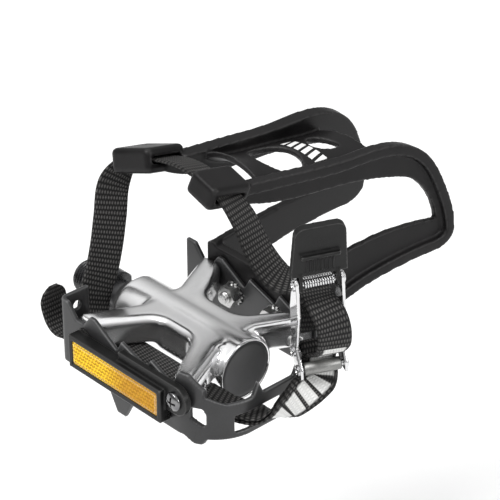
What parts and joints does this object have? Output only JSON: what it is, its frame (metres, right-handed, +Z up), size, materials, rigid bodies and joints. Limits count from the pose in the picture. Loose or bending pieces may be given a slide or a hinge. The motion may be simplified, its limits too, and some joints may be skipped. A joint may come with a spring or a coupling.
{
  "type": "bicycle pedal",
  "caption": "Platform bicycle pedal with a toothed cage, a rear reflector, a moulded toe clip and a webbing strap closed by a sprung lever buckle.",
  "frame": {"origin": "on the spindle's axis, at the shoulder face that seats on the crank arm", "axes": "+X outboard along the spindle, +Y forward to the toe, +Z up"},
  "size_m": [0.131, 0.1539, 0.094],
  "materials": {
    "spindle_steel": "blackened, threaded",
    "bearing_steel": "ground and hardened",
    "zinc_steel": "zinc plated",
    "cast_aluminium": "polished casting",
    "cap_plastic": "moulded, satin",
    "seal_rubber": "matt",
    "black_steel": "black satin coat on pressed steel",
    "black_plastic": "moulded, satin",
    "amber_lens": "clear amber with prisms",
    "clip_nylon": "moulded nylon, satin",
    "buckle_chrome": "bright plated",
    "roller_steel": "dull grey",
    "strap_webbing": "ribbed woven webbing"
  },
  "bodies": {
    "spindle": {"spindle": "spindle_steel", "outer_cone": "bearing_steel", "lock_washer": "zinc_steel", "lock_nut": "zinc_steel"},
    "pedal": {"pedal_body": "cast_aluminium", "inner_cup": "bearing_steel", "outer_cup": "bearing_steel", "dust_cap": "cap_plastic", "axle_seal": "seal_rubber", "cage": "black_steel", "cage_screws": "zinc_steel", "reflector_housing": "black_plastic", "reflector_lens": "amber_lens", "reflector_screw": "zinc_steel", "toe_clip": "clip_nylon", "toe_clip_bolts": "zinc_steel", "toe_clip_lock_washers": "zinc_steel", "toe_clip_nuts": "zinc_steel", "strap": "strap_webbing", "buckle_frame": "buckle_chrome", "buckle_pivot_pin": "buckle_chrome", "buckle_roller_pin": "buckle_chrome", "buckle_anchor_pin": "buckle_chrome", "buckle_spring": "buckle_chrome"},
    "inner_balls": {"inner_balls": "bearing_steel"},
    "outer_balls": {"outer_balls": "bearing_steel"},
    "buckle_lever": {"buckle_lever": "black_plastic"},
    "buckle_roller": {"buckle_roller": "roller_steel"}
  },
  "joints": [
    {"name": "pedal_spin", "type": "hinge", "parent": "spindle", "child": "pedal", "pos_m": [0, 0, 0], "axis": [1, 0, 0], "continuous": true},
    {"name": "inner_ball_orbit", "type": "hinge", "parent": "spindle", "child": "inner_balls", "pos_m": [0, 0, 0], "axis": [1, 0, 0], "continuous": true},
    {"name": "outer_ball_orbit", "type": "hinge", "parent": "spindle", "child": "outer_balls", "pos_m": [0, 0, 0], "axis": [1, 0, 0], "continuous": true},
    {"name": "lever_swing", "type": "hinge", "parent": "pedal", "child": "buckle_lever", "pos_m": [0.104, 0.0114, 0.0448], "axis": [0.4687, 0.8815, 0.0576], "range_deg": [0, 75], "stiffness_Nm_per_rad": 0.05},
    {"name": "roller_spin", "type": "hinge", "parent": "pedal", "child": "buckle_roller", "pos_m": [0.10499, 0.01326, 0.00836], "axis": [0.4687, 0.8815, 0.0576], "continuous": true}
  ],
  "couplings": [
    {"joint": "inner_ball_orbit", "follows": "pedal_spin", "ratio": 0.583},
    {"joint": "outer_ball_orbit", "follows": "pedal_spin", "ratio": 0.588}
  ]
}
